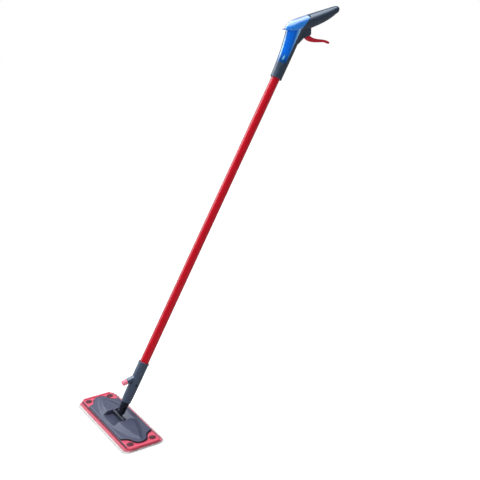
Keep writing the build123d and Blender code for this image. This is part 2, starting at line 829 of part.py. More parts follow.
with BuildPart() as nozzle_collar:
    with BuildSketch(pole_section):
        with BuildLine():
            flank = Spline(
                (collar_foot_radius, collar_bottom),
                (collar_radius, nozzle_station),
                (collar_radius, rim_start),
                tangents=[(collar_radius - collar_foot_radius, stem_spigot_length), (0, 1)],
            )
            rim = Polyline(flank @ 1, (collar_rim_radius, rim_start), (collar_rim_radius, collar_top))
            Polyline(rim @ 1, (0, collar_top), (0, collar_bottom), flank @ 0)
        make_face()
    revolve(axis=pole_axis)
    fillet(nozzle_collar.edges().filter_by(GeomType.CIRCLE).group_by(pole_axis)[-1], collar_rim_edge)
    add(nozzle_rod(0, boss_reach, boss_radius))
    add(pole_rod(tube_bottom, collar_top, pole_radius + tube_fit), mode=Mode.SUBTRACT)
    add(pole_rod(chamber_bottom, collar_top, chamber_radius), mode=Mode.SUBTRACT)
    add(pole_rod(collar_bottom, spigot_top, stem_spigot_radius + stem_fit), mode=Mode.SUBTRACT)
    add(nozzle_rod(0, boss_seat, nozzle_spigot_radius + stem_fit), mode=Mode.SUBTRACT)
    add(nozzle_rod(boss_seat, boss_reach, boss_bore), mode=Mode.SUBTRACT)
    add(beside_pole(0, far, screw_radius), mode=Mode.SUBTRACT)
    add(beside_pole(collar_screw_seat, far, screw_head_radius + stem_fit), mode=Mode.SUBTRACT)
nozzle_collar.part.label = "nozzle_collar"
export_step(nozzle_collar.part, "parts/nozzle_collar.step")

# Fitting inside the collar, with a socket for the hose and a channel to the nozzle
collar_screw_end = collar_screw_seat - collar_screw_depth
hose_mouth = pole_point(fitting_top, -hose_behind) + beside
with BuildPart() as hose_fitting:
    add(pole_rod(fitting_top - fitting_length, fitting_top, chamber_radius - tube_fit))
    add(rod(hose_foot, hose_mouth, hose_radius + tube_fit), mode=Mode.SUBTRACT)
    add(nozzle_rod(nozzle_spigot_start, boss_reach, nozzle_spigot_radius + stem_fit), mode=Mode.SUBTRACT)
    add(rod(hose_foot, nozzle_point(nozzle_spigot_start), nozzle_throat), mode=Mode.SUBTRACT)
    add(beside_pole(collar_screw_end, far, screw_radius), mode=Mode.SUBTRACT)
hose_fitting.part.label = "hose_fitting"
export_step(hose_fitting.part, "parts/hose_fitting.step")

collar_screw_top = collar_screw_seat + screw_head_height
with BuildPart() as collar_screw:
    add(beside_pole(collar_screw_end, collar_screw_seat, screw_radius))
    add(beside_pole(collar_screw_seat, collar_screw_top, screw_head_radius))
    add(cross_recess(pole_point(collar_screw_station, 0, collar_screw_top), pole.x_dir), mode=Mode.SUBTRACT)
collar_screw.part.label = "collar_screw"
export_step(collar_screw.part, "parts/collar_screw.step")

# Spray nozzle: spigot, sealed stem and a round head dished towards the orifice
nozzle_stem_radius = boss_bore - nozzle_fit
seal_along = (boss_seat + boss_reach) / 2
with BuildPart() as nozzle_seal:
    with BuildSketch(Plane(origin=nozzle_point(seal_along), x_dir=nozzle_way, z_dir=(1, 0, 0))):
        with Locations((0, boss_bore - tube_fit - seal_wire)):
            Circle(seal_wire)
    revolve(axis=Axis(nozzle.origin, nozzle_way))
nozzle_seal.part.label = "nozzle_seal"
export_step(nozzle_seal.part, "parts/nozzle_seal.step")

nozzle_end = boss_reach + nozzle_head_length
with BuildPart() as spray_nozzle:
    add(nozzle_rod(boss_reach + tube_fit, nozzle_end, nozzle_head_radius))
    fillet(spray_nozzle.edges(), nozzle_edge)
    add(nozzle_rod(boss_seat + tube_fit, boss_reach + nozzle_edge, nozzle_stem_radius))
    add(nozzle_rod(nozzle_spigot_start + tube_fit, boss_seat + nozzle_edge, nozzle_spigot_radius))
    with BuildSketch(Plane(origin=nozzle_point(nozzle_end), z_dir=nozzle_way)):
        Circle(nozzle_head_radius - 2 * nozzle_edge)
    with BuildSketch(Plane(origin=nozzle_point(nozzle_end - nozzle_dish), z_dir=nozzle_way)):
        Circle(nozzle_throat)
    loft(mode=Mode.SUBTRACT)
    add(nozzle_rod(0, nozzle_end - 2 * nozzle_dish, nozzle_throat), mode=Mode.SUBTRACT)
    add(nozzle_rod(0, nozzle_end, nozzle_orifice), mode=Mode.SUBTRACT)
    add(nozzle_seal.part, mode=Mode.SUBTRACT)
spray_nozzle.part.label = "spray_nozzle"
export_step(spray_nozzle.part, "parts/spray_nozzle.step")


def swivel_rod(half_length, radius):
    """Rod on the swivel's axis, to both sides of the pole's."""
    return rod(pole_point(swivel_station, -half_length), pole_point(swivel_station, half_length), radius)


def tilt_rod(half_length, radius):
    """Rod on the tilt axis, to both sides of the middle."""
    return rod(pole_point(0, 0, -half_length), pole_point(0, 0, half_length), radius)


# Joint stem: spigot in the collar above, rounded fork below
with BuildPart() as joint_stem:
    with BuildSketch(pole_section):
        Polygon(
            (0, 0),
            (stem_foot_radius, 0),
            (stem_foot_radius, swivel_station),
            (stem_radius, collar_bottom - stem_shoulder),
            (stem_radius, collar_bottom),
            (stem_spigot_radius, collar_bottom),
            (stem_spigot_radius, spigot_top),
            (0, spigot_top),
            align=None,
        )
    revolve(axis=pole_axis)
    with BuildSketch(pole_section):
        with Locations((0, swivel_station)):
            Circle(stem_radius)
        with Locations((0, (swivel_station + spigot_top) / 2)):
            Rectangle(2 * stem_radius, spigot_top - swivel_station)
    extrude(amount=far, both=True, mode=Mode.INTERSECT)
    with BuildSketch(pole_section):
        with Locations((0, (swivel_station + tongue_radius + fork_root) / 2)):
            Rectangle(far, swivel_station + tongue_radius + fork_root)
    extrude(amount=fork_gap / 2, both=True, mode=Mode.SUBTRACT)
    add(swivel_rod(far, pin_radius), mode=Mode.SUBTRACT)
joint_stem.part.label = "joint_stem"
export_step(joint_stem.part, "parts/joint_stem.step")

with BuildPart() as stem_pivot_pin:
    add(swivel_rod(stem_foot_radius - tongue_edge, pin_radius))
stem_pivot_pin.part.label = "stem_pivot_pin"
export_step(stem_pivot_pin.part, "parts/stem_pivot_pin.step")

# Knuckle: cross barrel on the tilt pin with a tongue for the swivel pin
with BuildPart() as joint_knuckle:
    with BuildSketch(pole_section):
        with Locations((0, swivel_station)):
            Circle(tongue_radius)
        with Locations((0, swivel_station / 2)):
            Rectangle(2 * tongue_radius, swivel_station)
    extrude(amount=tongue_thickness / 2, both=True)
    chamfer(joint_knuckle.edges().filter_by(GeomType.CIRCLE), tongue_edge)
    with BuildPart(mode=Mode.PRIVATE) as barrel:
        add(tilt_rod(barrel_length / 2, barrel_radius))
        fillet(barrel.edges().filter_by(GeomType.CIRCLE), barrel_edge)
    add(barrel.part)
    add(tilt_rod(far, pin_radius + running_fit), mode=Mode.SUBTRACT)
    add(swivel_rod(far, pin_radius + running_fit), mode=Mode.SUBTRACT)
joint_knuckle.part.label = "joint_knuckle"
export_step(joint_knuckle.part, "parts/joint_knuckle.step")

with BuildPart() as barrel_pin:
    add(tilt_rod(recess_width / 2 + pin_grip, pin_radius))
barrel_pin.part.label = "barrel_pin"
export_step(barrel_pin.part, "parts/barrel_pin.step")

# Places on the head, all measured in from the plate's edges
gripper_x = plate_length / 2 - gripper_end_inset
gripper_y = plate_width / 2 - gripper_side_inset
cover_half_length = plate_length / 2 - cover_end_gap
cover_half_width = plate_width / 2 - cover_side_gap
crown_half_length = cover_half_length - crown_inset
crown_half_width = cover_half_width - crown_side_inset
waist_half_width = gripper_y - waist_inset
gripper_places = []
cover_screw_places = []
for way_x in (-1, 1):
    for way_y in (-1, 1):
        gripper_places.append((way_x * gripper_x, way_y * gripper_y))
        cover_screw_places.append((way_x * cover_screw_x, way_y * cover_screw_y))
rim_y = (plate_width - rim_width) / 2
lip_x = plate_length / 2
strip_length = plate_length - 2 * plate_corner
strip_middle = plate_bottom + plate_thickness / 2

# Rubber strips along the plate's long edges, each keyed into a groove
with BuildPart() as edge_strips:
    for way in (-1, 1):
        with Locations((0, way * (plate_width + strip_thickness) / 2, strip_middle)):
            Box(strip_length, strip_thickness, plate_thickness)
        with Locations((0, way * plate_width / 2, strip_middle)):
            Box(strip_length, 2 * strip_key_depth, strip_key_height)
edge_strips.part.label = "edge_strips"
export_step(edge_strips.part, "parts/edge_strips.step")

# Base plate: rounded plate with raised long edges, rolled lips at its ends and holes
with BuildPart() as base_plate:
    with BuildSketch(Plane.XY.offset(plate_bottom)):
        RectangleRounded(plate_length, plate_width, plate_corner)
    extrude(amount=plate_thickness)
    with BuildSketch(Plane.XY.offset(plate_bottom)):
        with Locations((0, -rim_y), (0, rim_y)):
            Rectangle(strip_length, rim_width)
    extrude(amount=plate_thickness + rim_height)
    for end in (-lip_x, lip_x):
        lip_start = Vector(end, plate_corner - plate_width / 2, plate_bottom + lip_radius)
        add(rod(lip_start, lip_start + Vector(0, plate_width - 2 * plate_corner, 0), lip_radius))
    with BuildSketch(Plane.XY.offset(plate_bottom)):
        with Locations(*gripper_places):
            Circle(gripper_radius)
        with Locations(*cover_screw_places):
            Circle(screw_radius)
    extrude(amount=far, mode=Mode.SUBTRACT)
    with BuildSketch(Plane.XY.offset(plate_bottom)):
        with Locations(*cover_screw_places):
            Circle(screw_head_radius + stem_fit)
    extrude(amount=screw_head_height, mode=Mode.SUBTRACT)
    add(edge_strips.part, mode=Mode.SUBTRACT)
base_plate.part.label = "base_plate"
export_step(base_plate.part, "parts/base_plate.step")

# Rubber grippers that hold a cloth: flanged discs with star slits
with BuildPart() as cloth_grippers:
    with BuildSketch(Plane.XY.offset(plate_bottom)):
        with Locations(*gripper_places):
            Circle(gripper_radius)
    extrude(amount=plate_thickness)
    with BuildSketch(Plane.XY.offset(plate_top)):
        with Locations(*gripper_places):
            Circle(gripper_flange)
    extrude(amount=gripper_rise)
    with BuildSketch(Plane.XY.offset(plate_bottom)):
        with Locations(*gripper_places):
            for turn in range(slit_count):
                Rectangle(slit_width, 2 * (gripper_radius - slit_inset), rotation=turn * 180 / slit_count)
    extrude(amount=far, mode=Mode.SUBTRACT)
cloth_grippers.part.label = "cloth_grippers"
export_step(cloth_grippers.part, "parts/cloth_grippers.step")


def lens(height, inset):
    """Lens-shaped plan of the crown, drawn in at a height above the cover's foot."""
    half_length = crown_half_length - inset * crown_end_draw
    with BuildSketch(Plane.XY.offset(cover_foot + height)) as plan:
        with BuildLine():
            for bow in (inset - crown_half_width, crown_half_width - inset):
                ThreePointArc((-half_length, 0), (0, bow), (half_length, 0))
        make_face()
    return plan.sketch.face()


def crown_form(wall):
    """Crown of the cover, drafted sides under a long arch, drawn in by a wall."""
    foot = crown_foot - wall
    slope = tan(radians(crown_draft))
    with BuildPart() as form:
        loft([lens(foot, wall), lens(crown_height, wall + (crown_height - foot) * slope)], ruled=True)
        with BuildSketch(Plane.XZ):
            with BuildLine():
                arch = ThreePointArc(
                    (-crown_half_length, cover_foot + crown_end_height - wall),
                    (0, cover_foot + crown_height - wall),
                    (crown_half_length, cover_foot + crown_end_height - wall),
                )
                Polyline(arch @ 1, (crown_half_length, 0), (-crown_half_length, 0), arch @ 0)
            make_face()
        extrude(amount=far, both=True, mode=Mode.INTERSECT)
    return form.part


def cover_plan(height, grow):
    """Plan of the cover's flange, grown all round: hollows round the grippers and a tongue at each end."""
    with BuildSketch(Plane.XY.offset(height)) as plan:
        with BuildLine():
            long_edge = Line(
                (0, cover_half_width + grow),
                (gripper_x - straight_short + grow, cover_half_width + grow),
            )
            waist = ThreePointArc(
                long_edge @ 1,
                (gripper_x - waist_bow[0] + grow, cover_half_width - waist_bow[1] + grow),
                (gripper_x - waist_short + grow, waist_half_width + grow),
            )
            ThreePointArc(
                waist @ 1,
                (cover_half_length - tongue_bow[0] + grow, tongue_bow[1] + grow),
                (cover_half_length + grow, 0),
            )
            mirror(about=Plane.YZ)
            mirror(about=Plane.XZ)
        make_face()
        fillet(plan.vertices(), cover_corner)
    return plan.sketch.face()


# Head cover: flange shaped round the grippers, arched crown, recess and cheeks for the joint
cheek_end = recess_width / 2 + cheek_width
recess_bottom = cover_foot + recess_floor
with BuildPart() as crown_room:
    add(crown_form(cover_wall))
    Box(2 * cheek_end, 2 * far, 2 * far, mode=Mode.SUBTRACT)
    with BuildSketch():
        with Locations(*cover_screw_places):
            Circle(screw_boss_radius)
    extrude(amount=far, mode=Mode.SUBTRACT)

with BuildPart() as cover_underlay:
    extrude(cover_plan(plate_top, underlay_show), amount=underlay_thickness)
    with BuildSketch(Plane.XY.offset(plate_top)):
        with Locations(*cover_screw_places):
            Circle(screw_radius)
    extrude(amount=underlay_thickness, mode=Mode.SUBTRACT)
cover_underlay.part.label = "cover_underlay"
export_step(cover_underlay.part, "parts/cover_underlay.step")

with BuildPart() as head_cover:
    extrude(cover_plan(cover_foot, 0), amount=cover_flange)
    fillet(head_cover.faces().sort_by(Axis.Z)[-1].edges(), cover_edge)
    add(crown_form(0))
    add(crown_room.part, mode=Mode.SUBTRACT)
    with BuildSketch(Plane.YZ):
        Polygon(
            (-recess_reach, recess_bottom + recess_rise),
            (-recess_flat, recess_bottom),
            (recess_flat, recess_bottom),
            (recess_reach, recess_bottom + recess_rise),
            (recess_reach, far),
            (-recess_reach, far),
            align=None,
        )
    extrude(amount=recess_width / 2, both=True, mode=Mode.SUBTRACT)
    add(barrel_pin.part, mode=Mode.SUBTRACT)
    with BuildSketch(Plane.XY.offset(plate_bottom)):
        with Locations(*cover_screw_places):
            Circle(screw_radius)
    extrude(amount=screw_length, mode=Mode.SUBTRACT)
head_cover.part.label = "head_cover"
export_step(head_cover.part, "parts/head_cover.step")

with BuildPart() as cover_screws:
    with BuildSketch(Plane.XY.offset(plate_bottom)):
        with Locations(*cover_screw_places):
            Circle(screw_head_radius)
    extrude(amount=screw_head_height)
    with BuildSketch(Plane.XY.offset(plate_bottom)):
        with Locations(*cover_screw_places):
            Circle(screw_radius)
    extrude(amount=screw_length)
    for x, y in cover_screw_places:
        add(cross_recess(Vector(x, y, plate_bottom), Vector(0, 0, -1)), mode=Mode.SUBTRACT)
cover_screws.part.label = "cover_screws"
export_step(cover_screws.part, "parts/cover_screws.step")

# Hook strips under the plate, and the pad they hold: pile, sheet and edge binding
pad_length = plate_length + 2 * pad_over_ends
pad_width = plate_width + 2 * pad_over_sides
sheet_length = pad_length - 2 * binding_width
sheet_width = pad_width - 2 * binding_width
sheet_corner = pad_corner - binding_width
with BuildPart() as hook_strips:
    with BuildSketch(Plane.XY.offset(backing_top)):
        with Locations((0, -hook_spacing / 2), (0, hook_spacing / 2)):
            Rectangle(plate_length - 2 * hook_end_gap, hook_width)
    extrude(amount=hook_thickness)
hook_strips.part.label = "hook_strips"
export_step(hook_strips.part, "parts/hook_strips.step")

with BuildPart() as pad_backing:
    with BuildSketch(Plane.XY.offset(pile_height)):
        RectangleRounded(sheet_length, sheet_width, sheet_corner)
    extrude(amount=pad_thickness)
pad_backing.part.label = "pad_backing"
export_step(pad_backing.part, "parts/pad_backing.step")

binding_height = pad_thickness + binding_rise
with BuildPart() as pad_binding:
    with BuildSketch(Plane.XY.offset(pile_height)):
        RectangleRounded(pad_length, pad_width, pad_corner)
    extrude(amount=binding_height)
    fillet(pad_binding.faces().sort_by(Axis.Z)[-1].edges(), binding_edge)
    with BuildSketch(Plane.XY.offset(pile_height)):
        RectangleRounded(sheet_length, sheet_width, sheet_corner)
    extrude(amount=binding_height, mode=Mode.SUBTRACT)
pad_binding.part.label = "pad_binding"
export_step(pad_binding.part, "parts/pad_binding.step")

with BuildPart() as pad_pile:
    with BuildSketch():
        RectangleRounded(pad_length + 2 * fringe_ends, pad_width + 2 * fringe_sides, pad_corner + fringe_ends)
    extrude(amount=pile_height)
    fillet(pad_pile.faces().sort_by(Axis.Z)[0].edges(), pile_foot_edge)
    fillet(pad_pile.faces().sort_by(Axis.Z)[-1].edges(), pile_top_edge)
pad_pile.part.label = "pad_pile"
export_step(pad_pile.part, "parts/pad_pile.step")
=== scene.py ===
import math

import bpy
import numpy as np
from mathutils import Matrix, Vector


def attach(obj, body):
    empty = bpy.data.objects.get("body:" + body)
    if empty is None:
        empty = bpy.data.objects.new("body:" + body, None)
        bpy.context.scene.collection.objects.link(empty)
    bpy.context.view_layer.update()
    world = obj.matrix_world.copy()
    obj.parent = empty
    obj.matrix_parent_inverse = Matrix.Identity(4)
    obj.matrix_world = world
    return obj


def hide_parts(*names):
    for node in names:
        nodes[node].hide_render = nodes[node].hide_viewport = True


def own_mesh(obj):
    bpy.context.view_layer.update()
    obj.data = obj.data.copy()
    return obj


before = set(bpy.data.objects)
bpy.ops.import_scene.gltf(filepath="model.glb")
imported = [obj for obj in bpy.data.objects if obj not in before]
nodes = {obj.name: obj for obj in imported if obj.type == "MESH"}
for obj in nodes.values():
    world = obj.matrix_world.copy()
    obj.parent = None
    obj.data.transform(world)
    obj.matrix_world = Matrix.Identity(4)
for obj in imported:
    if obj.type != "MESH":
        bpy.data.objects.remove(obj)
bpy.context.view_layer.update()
scene = bpy.context.scene
print("frame loaded with", len(nodes), "nodes")


# Colours are given as the screen shows them and turned to linear light here
def paint(red, green, blue):
    levels = np.array([red, green, blue]) / 255
    linear = np.where(levels <= 0.04045, levels / 12.92, ((levels + 0.055) / 1.055) ** 2.4)
    return (*linear.tolist(), 1.0)


# A socket is linked to another node's output, or set to a plain value
def feed(tree, socket, value):
    if isinstance(value, bpy.types.NodeSocket):
        tree.links.new(value, socket)
    else:
        socket.default_value = value


def node(tree, kind, **sockets):
    made = tree.nodes.new(kind)
    for name, value in sockets.items():
        feed(tree, made.inputs[name.replace("_", " ")], value)
    return made


def places(tree):
    return node(tree, "ShaderNodeTexCoord").outputs["Object"]


def mathNode(tree, operation, *values):
    made = tree.nodes.new("ShaderNodeMath")
    made.operation = operation
    for socket, value in zip(made.inputs, values):
        feed(tree, socket, value)
    return made.outputs[0]


# Distance or dot product of a vector and a fixed one
def vectorMath(tree, operation, vector, fixed):
    made = tree.nodes.new("ShaderNodeVectorMath")
    made.operation = operation
    tree.links.new(vector, made.inputs[0])
    made.inputs[1].default_value = fixed
    return made.outputs["Value"]


def mixColor(tree, factor, first, second):
    made = tree.nodes.new("ShaderNodeMix")
    made.data_type = "RGBA"
    sockets = {socket.identifier: socket for socket in made.inputs}
    feed(tree, sockets["Factor_Float"], factor)
    feed(tree, sockets["A_Color"], first)
    feed(tree, sockets["B_Color"], second)
    return next(socket for socket in made.outputs if socket.identifier == "Result_Color")


# A value carried from one span to another, smooth or straight
def ramp(tree, value, low, high, start=0.0, end=1.0, kind="SMOOTHSTEP"):
    made = node(tree, "ShaderNodeMapRange", Value=value)
    made.interpolation_type = kind
    for name, level in (("From Min", low), ("From Max", high), ("To Min", start), ("To Max", end)):
        made.inputs[name].default_value = level
    return made.outputs["Result"]


# Each plain socket with a look's word for it, and its value where the look says nothing
plainSockets = [("Metallic", "metallic", 0.0), ("Coat Weight", "coat", 0.0), ("Coat Roughness", "coatRoughness", 0.1),
                ("Sheen Weight", "sheen", 0.0), ("Transmission Weight", "clear", 0.0), ("IOR", "ior", 1.5),
                ("Specular IOR Level", "shine", 0.5), ("Subsurface Weight", "glow", 0.0)]
glowDepth = 0.004


def newMaterial(name, look):
    material = bpy.data.materials.new(name)
    material.use_nodes = True
    tree = material.node_tree
    surface = tree.nodes["Principled BSDF"]
    surface.inputs["Base Color"].default_value = paint(*look["color"])
    surface.inputs["Roughness"].default_value = look["roughness"]
    surface.inputs["Subsurface Radius"].default_value = (glowDepth, glowDepth, glowDepth)
    for socket, word, plain in plainSockets:
        surface.inputs[socket].default_value = look.get(word, plain)
    return material, tree, surface


# Another colour laid over the one that a surface has so far
def paintOver(tree, surface, factor, color):
    under = surface.inputs["Base Color"].links[0].from_socket
    tree.links.new(mixColor(tree, factor, under, paint(*color)), surface.inputs["Base Color"])


# Moulded plastic: cloudy colour, gloss that varies with it by the patchy amount, and fine grain in the bump
moulding = {"cloud": 60.0, "grain": 2600.0, "patchy": 0.12, "bump": 0.12, "depth": 0.0002}


def plastic(name, settings):
    look = {**moulding, **settings}
    material, tree, surface = newMaterial(name, look)
    where = places(tree)
    cloud = node(tree, "ShaderNodeTexNoise", Vector=where, Scale=look["cloud"], Detail=3.0).outputs["Fac"]
    grain = node(tree, "ShaderNodeTexNoise", Vector=where, Scale=look["grain"], Detail=2.0).outputs["Fac"]
    shade = mixColor(tree, cloud, paint(*look["color"]), paint(*look["second"]))
    tree.links.new(shade, surface.inputs["Base Color"])
    gloss = mathNode(tree, "MULTIPLY_ADD", cloud, look["patchy"], look["roughness"] - look["patchy"] / 2)
    tree.links.new(gloss, surface.inputs["Roughness"])
    bump = node(tree, "ShaderNodeBump", Height=grain, Strength=look["bump"], Distance=look["depth"])
    if "soften" in look:  # edges rounded by this much in the shading
        rounded = node(tree, "ShaderNodeBevel", Radius=look["soften"])
        rounded.samples = 8
        tree.links.new(rounded.outputs["Normal"], bump.inputs["Normal"])
    tree.links.new(bump.outputs["Normal"], surface.inputs["Normal"])
    return material, tree, surface


def wear(material, pieces):
    for name in pieces:
        for slot in nodes[name].material_slots:
            slot.material = material


def mould(name, look, pieces):
    material, tree, surface = plastic(name, look)
    wear(material, pieces)
    return tree, surface


# Handle and lever
gripLook = {"color": (40, 54, 71), "second": (48, 63, 83), "roughness": 0.34, "shine": 0.9, "bump": 0.03,
            "cloud": 45.0}
mould("gripPlastic", gripLook, ["handle_shell_right", "handle_shell_left"])
triggerLook = {"color": (186, 14, 42), "second": (198, 24, 52), "roughness": 0.3, "bump": 0.02}
mould("triggerRed", triggerLook, ["trigger"])
paleSealLook = {"color": (150, 205, 248), "second": (170, 216, 250), "roughness": 0.3, "bump": 0.05}
mould("paleSeal", paleSealLook, ["lid_gasket"])

# Pump and hoses inside
whiteLook = {"color": (222, 222, 216), "second": (232, 232, 228), "roughness": 0.45}
mould("whitePlastic", whiteLook, ["pump_body", "pump_piston", "inlet_valve", "outlet_valve", "hose_fitting"])
hoseLook = {"color": (206, 212, 216), "second": (218, 222, 226), "roughness": 0.3, "clear": 0.5}
mould("hosePlastic", hoseLook, ["inlet_hose", "delivery_hose"])
sealLook = {"color": (24, 25, 27), "second": (34, 35, 38), "roughness": 0.7, "bump": 0.25}
mould("sealRubber", sealLook, ["piston_seal", "nozzle_seal", "cover_underlay"])

# Pole: clear gloss over red paint
poleLook = {"color": (182, 3, 26), "second": (190, 7, 32), "roughness": 0.4, "shine": 0.1, "coat": 0.9,
            "coatRoughness": 0.1, "bump": 0.0, "cloud": 30.0}
mould("polePaint", poleLook, ["pole_tube"])

# Collar, nozzle and joint
slateLook = {"color": (52, 66, 88), "second": (62, 76, 98), "roughness": 0.36, "shine": 0.8, "bump": 0.03}
mould("slatePlastic", slateLook, ["nozzle_collar"])
nozzleLook = {"color": (232, 118, 138), "second": (238, 130, 150), "roughness": 0.36, "bump": 0.02}
mould("nozzlePink", nozzleLook, ["spray_nozzle"])
blackLook = {"color": (24, 26, 37), "second": (31, 33, 46), "roughness": 0.3, "shine": 0.15, "bump": 0.02}
mould("blackPlastic", blackLook, ["joint_stem", "joint_knuckle"])

# Head
coverLook = {"color": (66, 69, 90), "second": (73, 76, 98), "roughness": 0.34, "shine": 0.3, "bump": 0.05,
             "grain": 1900.0, "soften": 0.006}
coverTree, coverSurface = mould("coverPlastic", coverLook, ["head_cover"])
redLook = {"color": (208, 68, 94), "second": (216, 78, 104), "roughness": 0.36, "bump": 0.02}
redTree, redSurface = mould("redPlastic", redLook, ["base_plate"])
stripLook = {"color": (186, 62, 88), "second": (196, 72, 98), "roughness": 0.6, "bump": 0.1}
stripTree, stripSurface = mould("stripRubber", stripLook, ["edge_strips"])
gripperLook = {"color": (62, 18, 28), "second": (74, 26, 36), "roughness": 0.75, "bump": 0.3}
mould("gripperRubber", gripperLook, ["cloth_grippers"])
hookLook = {"color": (26, 26, 30), "second": (44, 44, 50), "roughness": 0.95, "bump": 1.0, "grain": 900.0}
mould("hookTape", hookLook, ["hook_strips"])

# Lines along the cover: the plate's raised long edges and the tops of the strips beside them are painted dark, with a
# pale line on top that is a painted highlight. Each band lies beyond a reach across the head and above a height
edgeLook = {"dark": (46, 14, 32), "pale": (124, 106, 128), "blend": 0.0001, "rim": (0.0442, 0.0122),
            "top": (0.0442, 0.01345), "strip": (0.0, 0.0111)}


def edgeBand(tree, surface, color, reach, height):
    spot = node(tree, "ShaderNodeSeparateXYZ", Vector=places(tree))
    across = mathNode(tree, "ABSOLUTE", spot.outputs["Y"])
    outside = ramp(tree, across, reach, reach + edgeLook["blend"])
    above = ramp(tree, spot.outputs["Z"], height, height + edgeLook["blend"])
    paintOver(tree, surface, mathNode(tree, "MULTIPLY", outside, above), color)


edgeBand(redTree, redSurface, edgeLook["dark"], *edgeLook["rim"])
# Painted highlight: the pale line along the top of the plate's raised edges
edgeBand(redTree, redSurface, edgeLook["pale"], *edgeLook["top"])
edgeBand(stripTree, stripSurface, edgeLook["dark"], *edgeLook["strip"])

# Painted shade: a dark line on the cover along its edge round the grippers and its tongues, where shade falls in the
# gap to the plate. Both lines are arcs in plan, given by middle and radius in one quarter of the head: the first lies
# just outside its arc, the second just inside
coverEdgeShadeLook = {"color": (44, 32, 50), "wide": 0.0021, "blend": 0.0004, "hollow": ((0.1258, 0.0467), 0.027),
               "tongue": ((0.1123, -0.0009), 0.0227), "tongueStart": 0.1165}


def paintCoverEdgeShade(tree, surface, look):
    spot = node(tree, "ShaderNodeSeparateXYZ", Vector=places(tree))
    along = mathNode(tree, "ABSOLUTE", spot.outputs["X"])
    across = mathNode(tree, "ABSOLUTE", spot.outputs["Y"])
    quarter = node(tree, "ShaderNodeCombineXYZ", X=along, Y=across).outputs["Vector"]
    hollowMiddle, hollowRadius = look["hollow"]
    outer = hollowRadius + look["wide"]
    hollow = ramp(tree, vectorMath(tree, "DISTANCE", quarter, (*hollowMiddle, 0.0)), outer, outer - look["blend"])
    tongueMiddle, tongueRadius = look["tongue"]
    inner = tongueRadius - look["wide"]
    tongue = ramp(tree, vectorMath(tree, "DISTANCE", quarter, (*tongueMiddle, 0.0)), inner, inner + look["blend"])
    begun = ramp(tree, along, look["tongueStart"], look["tongueStart"] + look["blend"])
    lines = mathNode(tree, "MAXIMUM", hollow, mathNode(tree, "MULTIPLY", tongue, begun))
    # Painted shade along the cover's edge
    paintOver(tree, surface, lines, look["color"])


paintCoverEdgeShade(coverTree, coverSurface, coverEdgeShadeLook)

# Tank and lid: clear tinted plastic. Seen square on it is deep; towards its outline the colour, set by the viewing
# angle, has a painted highlight as a pale band and then a dark line, where the eye looks along the wall. The tank is
# painted darker towards its foot, round a painted highlight: a streak of light painted on both sides. Both are
# measured in metres up the pole and ahead of it
tankLook = {"color": (0, 120, 244), "second": (0, 128, 252), "roughness": 0.16, "clear": 0.2, "ior": 1.46,
            "coat": 0.7, "coatRoughness": 0.1, "bump": 0.0,
            "rim": [(0.0, (0, 116, 246)), (0.07, (0, 122, 248)), (0.12, (4, 100, 212)), (0.2, (62, 152, 246)),
                    (0.3, (176, 222, 255)), (0.4, (176, 222, 255)), (0.5, (54, 92, 140)), (1.0, (30, 58, 98))],
            "upPole": (0.0, 0.5, 0.866), "ahead": (0.0, 0.866, -0.5), "foot": (1.06, 1.03), "footDarker": (10, 76, 138),
            "paintedHighlight": (130, 212, 255), "highlightMiddle": (1.044, -0.0234), "highlightSize": (0.0095, 0.0026),
            "highlightFade": (1.0, 0.3)}
# The lid's ramp paints a wider lavender band, a painted reflection of light on its top, and a darker outline
lidLook = dict(tankLook, rim=[(0.0, (44, 140, 244)), (0.17, (52, 144, 244)), (0.25, (58, 140, 238)),
                              (0.35, (146, 184, 238)), (0.7, (166, 180, 225)), (0.84, (112, 132, 176)),
                              (1.0, (84, 104, 146))])


def tintedPlasticWithPaintedLight(name, look, pieces):
    tree, surface = mould(name, look, pieces)
    # Painted highlight and dark line: the colour follows the viewing angle through the ramp
    facing = node(tree, "ShaderNodeLayerWeight", Blend=0.5).outputs["Facing"]
    rimTintAndHighlight = node(tree, "ShaderNodeValToRGB", Fac=facing)
    stops = rimTintAndHighlight.color_ramp.elements
    for position, color in look["rim"][1:-1]:
        stops.new(position)
    for stop, (position, color) in zip(stops, look["rim"]):
        stop.position, stop.color = position, paint(*color)
    tree.links.new(rimTintAndHighlight.outputs["Color"], surface.inputs["Base Color"])
    station = vectorMath(tree, "DOT_PRODUCT", places(tree), look["upPole"])
    ahead = vectorMath(tree, "DOT_PRODUCT", places(tree), look["ahead"])
    # Painted darker towards the tank's foot
    paintOver(tree, surface, ramp(tree, station, *look["foot"]), look["footDarker"])
    # Painted highlight: a streak of light painted into the colour as an ellipse up the pole and ahead of it
    long, wide = look["highlightSize"]
    middleUp, middleAhead = look["highlightMiddle"]
    spread = node(tree, "ShaderNodeCombineXYZ", X=mathNode(tree, "DIVIDE", station, long),
                  Y=mathNode(tree, "DIVIDE", ahead, wide)).outputs["Vector"]
    away = vectorMath(tree, "DISTANCE", spread, (middleUp / long, middleAhead / wide, 0.0))
    paintOver(tree, surface, ramp(tree, away, *look["highlightFade"]), look["paintedHighlight"])


tintedPlasticWithPaintedLight("tankBlue", tankLook, ["water_tank"])
tintedPlasticWithPaintedLight("lidBlue", lidLook, ["tank_lid"])

# Steel: brushed along the noise's stretched axis, which moves the gloss
steelLook = {"color": (176, 178, 182), "roughness": 0.3, "metallic": 1.0, "stretch": (300.0, 300.0, 6000.0),
             "brushed": (-0.6, 2.4)}
darkSteelLook = dict(steelLook, color=(38, 39, 42), roughness=0.45)


